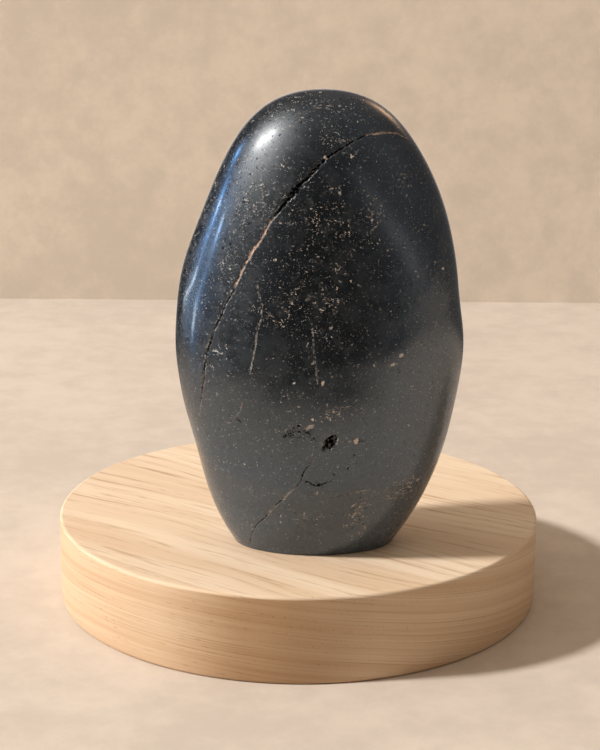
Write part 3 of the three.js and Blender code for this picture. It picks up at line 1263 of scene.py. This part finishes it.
    def build(self, groups: SpeckGroups) -> bpy.types.Object:
        """Makes the stone, stands it on the disc and dresses it.

        Args:
            groups: the shared groups of specks.

        Returns:
            The stone's object.
        """
        traces = [self.trace(stations) for stations in CRACKS]
        bm = self.ball(traces)
        self.carve(bm, traces)
        self.stand_flat(bm)
        piece = new_piece(bm, "polished_stone")
        mesh = piece.data
        mesh.polygons.foreach_set("use_smooth", [True] * len(mesh.polygons))
        self.paint(mesh, traces)
        mesh.materials.append(self.finish.material(groups))
        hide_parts(self.node)
        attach(piece, BODY)
        return piece


@dataclass
class Stand:
    """The round wooden disc with its two eased rims."""

    node: str = "wooden_stand"
    sides: int = 256
    rim_round: float = 0.8
    rim_steps: int = 4
    finish: WoodFinish = field(default_factory=WoodFinish)

    def __post_init__(self) -> None:
        """Takes the disc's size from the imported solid."""
        low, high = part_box(self.node)
        self.radius = (high.x - low.x) / 2 / MM
        self.thickness = (high.z - low.z) / MM

    def build(self) -> bpy.types.Object:
        """Makes the disc, eases its rims, dresses it and gives it."""
        bm = bmesh.new()
        bmesh.ops.create_circle(bm, cap_ends=True, segments=self.sides, radius=self.radius)
        lower = bm.faces[:]
        upper = bmesh.ops.extrude_face_region(bm, geom=lower)["geom"]
        lifted = [item for item in upper if isinstance(item, bmesh.types.BMVert)]
        bmesh.ops.translate(bm, vec=(0, 0, self.thickness), verts=lifted)
        rims = [edge for edge in bm.edges if abs(edge.verts[0].co.z - edge.verts[1].co.z) < SNAP]
        bmesh.ops.bevel(bm, geom=rims, offset=self.rim_round, offset_type="OFFSET",
                        segments=self.rim_steps, profile=0.5, affect="EDGES", material=-1)
        bmesh.ops.recalc_face_normals(bm, faces=bm.faces)
        for face in bm.faces:
            face.smooth = len(face.verts) == 4
        piece = new_piece(bm, "oak_disc")
        piece.data.materials.append(self.finish.material())
        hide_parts(self.node)
        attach(piece, BODY)
        return piece


@dataclass(frozen=True)
class Glow:
    """A soft patch of light around the object, which only its polish mirrors.

    Turn and rise are where its middle is, spread is its softness and radiance its strength.
    """

    turn: float
    rise: float
    spread: float
    colour: Colour
    radiance: float = 0.0


@dataclass(frozen=True)
class Bend:
    """One point of a ribbon of light: its rise, its turn, its half width and its radiance."""

    rise: float
    turn: float
    half: float
    radiance: float


@dataclass(frozen=True)
class Ribbon:
    """A drawn-out patch of light around the object, from low to high."""

    colour: Colour
    bends: tuple[Bend, ...]


def ribbon(colour: Colour, *rows: tuple[float, ...]) -> Ribbon:
    """Makes a ribbon of light from a colour and rows of its bends' values."""
    return Ribbon(colour, tuple(Bend(*row) for row in rows))


WHITE: Colour = (1.14, 0.98, 0.84)
BLUE: Colour = (0.2, 0.92, 2.05)
PALE_BLUE: Colour = (1.5, 1.65, 1.8)
SKY: Colour = (0.85, 0.95, 1.08)
GREYISH: Colour = (1.1, 1.0, 0.95)
AMBER: Colour = (1.0, 0.6, 0.36)


@dataclass
class Surround:
    """The light around the stage: a plain soft one for matt things, a patterned one in the polish."""

    front: Colour = (0.18, 0.145, 0.112)
    back: Colour = (0.82, 0.67, 0.52)
    seen: Colour = (0.56, 0.45, 0.35)
    low_gloss: Colour = (0.13, 0.12, 0.115)
    high_gloss: Colour = (0.24, 0.215, 0.2)
    glows: tuple[Glow, ...] = (
        Glow(-77, 34, 2.8, WHITE, 10.0),
        Glow(-71, 38, 3.0, WHITE, 15.0),
        Glow(-65, 42, 2.8, WHITE, 10.0),
        Glow(-70, 37, 8.0, WHITE, 2.0),
        Glow(-67, 38, 14.5, WHITE, 3.1),
        Glow(-79, 18, 7.0, SKY, 1.0),
        Glow(-103, 8, 10.0, GREYISH, 0.2),
        Glow(144, 31, 5.5, AMBER, 4.2),
        Glow(60, 30, 16.0, GREYISH, 0.1),
        Glow(-170, 2, 9.0, GREYISH, 0.9),
        Glow(170, 2, 9.0, GREYISH, 0.5),
    )
    darks: tuple[Glow, ...] = (
        Glow(2, 0, 26.0, (0.016, 0.0135, 0.012)),
        Glow(-128, 2, 24.0, (0.03, 0.035, 0.045)),
    )
    ribbons: tuple[Ribbon, ...] = (
        ribbon(BLUE,
               (28, -107, 4.0, 0.0), (23, -108, 4.0, 1.6), (21, -110, 4.2, 5.0), (18, -109, 3.6, 2.2),
               (15, -104, 3.0, 1.4), (12, -101, 3.2, 2.2), (9.5, -99.5, 3.4, 5.0), (8, -98, 3.2, 3.4),
               (5, -95.5, 2.4, 1.2), (1, -96, 2.4, 0.8), (-4, -102, 3.4, 0.6), (-8, -108, 4.0, 0.0)),
        ribbon(PALE_BLUE,
               (24, -109, 1.6, 0.0), (21, -110, 1.6, 3.0), (18, -109, 1.4, 0.4), (11, -100, 1.4, 0.4),
               (9.3, -99, 1.6, 8.0), (7.5, -97.5, 1.3, 0.8), (5, -95.5, 1.1, 0.7),
               (2, -95.7, 1.2, 1.8), (-1, -97.5, 1.4, 8.0), (-3, -101, 1.8, 6.0),
               (-4.5, -106, 2.4, 6.0), (-6, -112, 2.8, 3.0), (-8, -116, 4.0, 0.0)),
        ribbon(BLUE,
               (11, -87, 2.2, 0.0), (8, -85.5, 2.0, 2.4), (6.5, -84, 2.0, 4.0), (4, -83, 1.7, 1.3),
               (0, -85, 1.8, 1.1), (-4, -88.5, 2.0, 1.0), (-8, -92, 2.0, 0.8), (-13, -91, 3.0, 0.4),
               (-18, -90, 4.0, 0.1)),
        ribbon(PALE_BLUE,
               (8.5, -85, 1.0, 0.0), (7, -84, 1.1, 7.0), (5, -83.2, 0.8, 0.6), (0, -85, 0.9, 1.0),
               (-4, -89, 1.0, 1.5), (-6.4, -91.6, 1.2, 6.5), (-9, -91.8, 1.1, 1.0),
               (-12, -91, 1.4, 0.0)),
        ribbon(GREYISH,
               (26, 22, 8.0, 0.0), (18, 30, 8.0, 0.28), (10, 40, 8.0, 0.36), (5, 49, 8.0, 0.46),
               (0, 59, 7.0, 0.42), (-5, 68, 7.0, 0.3), (-9, 74, 7.0, 0.1)),
    )
    gloss_from: float = 25.0
    gloss_to: float = 70.0
    matt_toward: Colour = (-0.25, 0.6, 0.76)

    def build(self) -> bpy.types.World:
        """Makes the surroundings, sets them as the scene's and gives them."""
        world = bpy.data.worlds.new("surround")
        world.use_nodes = True
        world.cycles.sampling_method = "NONE"
        graph = Graph(world.node_tree)
        toward = graph.node("ShaderNodeTexCoord").outputs["Generated"]
        across, away, up = graph.split(toward)
        rise = graph.math("DEGREES", graph.math("ARCSINE", up))
        turn = graph.math("ARCTAN2", across, graph.times(away, -1.0))
        turn = graph.math("DEGREES", turn)
        high = graph.ramp(rise, self.gloss_from, self.gloss_to)
        gloss = graph.mix(high, self.low_gloss, self.high_gloss)
        for dark in self.darks:
            gloss = graph.mix(self.lobe(graph, toward, dark), gloss, dark.colour)
        for glow in self.glows:
            light = tuple(part * glow.radiance for part in glow.colour)
            gloss = self.add(graph, gloss, self.lobe(graph, toward, glow), light)
        for strip in self.ribbons:
            gloss = self.add(graph, gloss, self.band(graph, turn, rise, strip), strip.colour)
        upward = graph.vector("DOT_PRODUCT", toward, Vector(self.matt_toward).normalized())
        matt = graph.mix(graph.ramp(upward, 0.0, 1.0), self.front, self.back)
        path = graph.node("ShaderNodeLightPath")
        colour = graph.mix(path.outputs["Is Glossy Ray"], matt, gloss)
        colour = graph.mix(path.outputs["Is Camera Ray"], colour, self.seen)
        graph.feed(world.node_tree.nodes["Background"].inputs["Color"], colour)
        bpy.context.scene.world = world
        return world

    def lobe(self, graph: Graph, toward: Socket, glow: Glow) -> Socket:
        """Gives the falloff of a soft patch: 1 at its middle and 0 far from it."""
        sharp = 1 / math.radians(glow.spread) ** 2
        near = graph.vector("DOT_PRODUCT", toward, direction(glow.turn, glow.rise))
        return graph.math("EXPONENT", graph.times(graph.minus(near, 1.0), sharp))

    def band(self, graph: Graph, turn: Socket, rise: Socket, strip: Ribbon) -> Socket:
        """Gives the strength of a ribbon of light at a turn and a rise."""
        rises = [bend.rise for bend in strip.bends]
        at = graph.node("ShaderNodeMapRange", Value=rise)
        graph.feed(at.inputs["From Min"], min(rises))
        graph.feed(at.inputs["From Max"], max(rises))

        def follow(values: list[float]) -> Socket:
            """Gives the value at the rise, from one value for each bend."""
            low, high = min(values) - 1, max(values) + 1
            made = graph.node("ShaderNodeFloatCurve", Value=at.outputs[0])
            curve = made.mapping.curves[0]
            stops = sorted(((r - min(rises)) / (max(rises) - min(rises)), (v - low) / (high - low))
                           for r, v in zip(rises, values))
            curve.points[0].location, curve.points[1].location = stops[0], stops[-1]
            for stop in stops[1:-1]:
                curve.points.new(*stop)
            made.mapping.update()
            return graph.plus(graph.times(made.outputs[0], high - low), low)

        middle = follow([bend.turn for bend in strip.bends])
        half = follow([bend.half for bend in strip.bends])
        glow = graph.most(follow([bend.radiance for bend in strip.bends]), 0.0)
        off = graph.math("DIVIDE", graph.minus(turn, middle), half)
        fall = graph.math("EXPONENT", graph.times(graph.times(off, off), -1.0))
        return graph.times(fall, glow)

    @staticmethod
    def add(graph: Graph, under: Socket, strength: Socket, light: Colour) -> Socket:
        """Adds light of a colour to a colour."""
        return graph.vector("ADD", under, graph.vector("SCALE", Vector(light), strength))


@dataclass(frozen=True)
class Lamp:
    """The studio's key lamp, as seen from the stone. The polish mirrors the surround instead."""

    turn: float = -80.5
    rise: float = 36.0
    distance: float = 4.0
    size: float = 0.44
    colour: Colour = (1.0, 0.955, 0.9)
    strength: float = 0.72

    def build(self, target: Vector) -> bpy.types.Object:
        """Hangs the lamp so that it faces the target, and gives it."""
        lamp = bpy.data.lights.new("key", "AREA")
        lamp.shape = "DISK"
        lamp.size = self.size
        lamp.color = self.colour
        spread = (math.pi * self.distance) ** 2
        lamp.energy = self.strength * spread / math.sin(math.radians(self.rise))
        holder = hang(lamp, target, direction(self.turn, self.rise), self.distance)
        holder.visible_camera = False
        holder.visible_glossy = False
        return holder


@dataclass
class Studio:
    """The pale floor, the wall behind, the key lamp and the surround."""

    floor: StageFinish = StageFinish("pale_floor", (0.645, 0.575, 0.51), fades=True)
    wall: StageFinish = StageFinish("warm_wall", (0.85, 0.76, 0.66), one_sided=True)
    floor_half: float = 2.5
    near_middle: tuple[float, float] = (0.1, -0.024)
    near_reach: tuple[float, float] = (0.6, 0.27)
    near_sides: int = 96
    step: float = 0.00005
    wall_behind: float = 0.33
    wall_height: float = 1.6

    def sheet(self, name: str, half: Vector, placing: Matrix, finish: StageFinish,
              sides: int = 4) -> bpy.types.Object:
        """Lays one flat sheet of the set.

        Args:
            name: the object's name.
            half: the sheet's half sizes, in metres.
            placing: how it is turned and where it lies.
            finish: its surface.
            sides: the number of its sides, 4 for a rectangle and more for an oval.

        Returns:
            The sheet's object.
        """
        bm = bmesh.new()
        if sides == 4:
            bmesh.ops.create_grid(bm, x_segments=1, y_segments=1, size=1.0)
        else:
            bmesh.ops.create_circle(bm, cap_ends=True, segments=sides, radius=1.0)
        around = bm.loops.layers.uv.new("around")
        for face in bm.faces:
            for loop in face.loops:
                loop[around].uv = loop.vert.co.xy
        bmesh.ops.scale(bm, vec=half, verts=bm.verts)
        bmesh.ops.transform(bm, matrix=placing, verts=bm.verts)
        piece = new_piece(bm, name, 1.0)
        piece.data.materials.append(finish.material())
        return piece

    def build(self, target: Vector) -> None:
        """Sets the stage up.

        Args:
            target: the point that the lamp faces.
        """
        self.sheet("near_floor", Vector((*self.near_reach, 1)),
                   Matrix.Translation((*self.near_middle, 0)), self.floor, self.near_sides)
        far = self.sheet("far_floor", Vector((self.floor_half, self.floor_half, 1)),
                         Matrix.Translation((0, 0, -self.step)), replace(self.floor, fades=False))
        far.visible_glossy = False
        upright = Matrix.Rotation(math.radians(90), 4, "X")
        wall = self.sheet(
            "wall", Vector((self.floor_half, self.wall_height / 2, 1)),
            Matrix.Translation((0, self.wall_behind, self.wall_height / 2)) @ upright, self.wall)
        wall.visible_shadow = False
        wall.visible_glossy = False
        Lamp().build(target)
        Surround().build()


@dataclass(frozen=True)
class PhotoCamera:
    """The camera at the photograph's angle; its picture is 600 by 750 pixels."""

    sensor: float = 36.0
    focal_pixels: float = 1815.3
    long_side_pixels: float = 750.0
    pitch: float = 15.59
    roll: float = 0.42
    distance: float = 0.47006
    target: Colour = (0.00019, 0.0, 0.058)

    def build(self) -> bpy.types.Object:
        """Makes the camera, sets it as the scene's and gives it."""
        data = bpy.data.cameras.new("camera")
        data.sensor_width = self.sensor
        data.lens = self.sensor * self.focal_pixels / self.long_side_pixels
        data.clip_start, data.clip_end = 0.01, 50.0
        back = direction(0.0, self.pitch)
        holder = hang(data, Vector(self.target), back, self.distance, self.roll)
        bpy.context.scene.camera = holder
        return holder


def main() -> None:
    """Builds the object, its studio and its camera, and reports each piece."""
    logging.basicConfig(level=logging.INFO, format="%(name)s: %(message)s")
    bpy.context.scene.view_settings.view_transform = "Standard"
    PhotoCamera().build()
    stand = Stand()
    stone = Stone()
    for piece in (stand.build(), stone.build(SpeckGroups(grain_group(), dot_group()))):
        LOG.info("%s: %d faces", piece.name, len(piece.data.polygons))
    Studio().build(Vector(stone.middle) * MM)


if __name__ == "__main__":
    main()
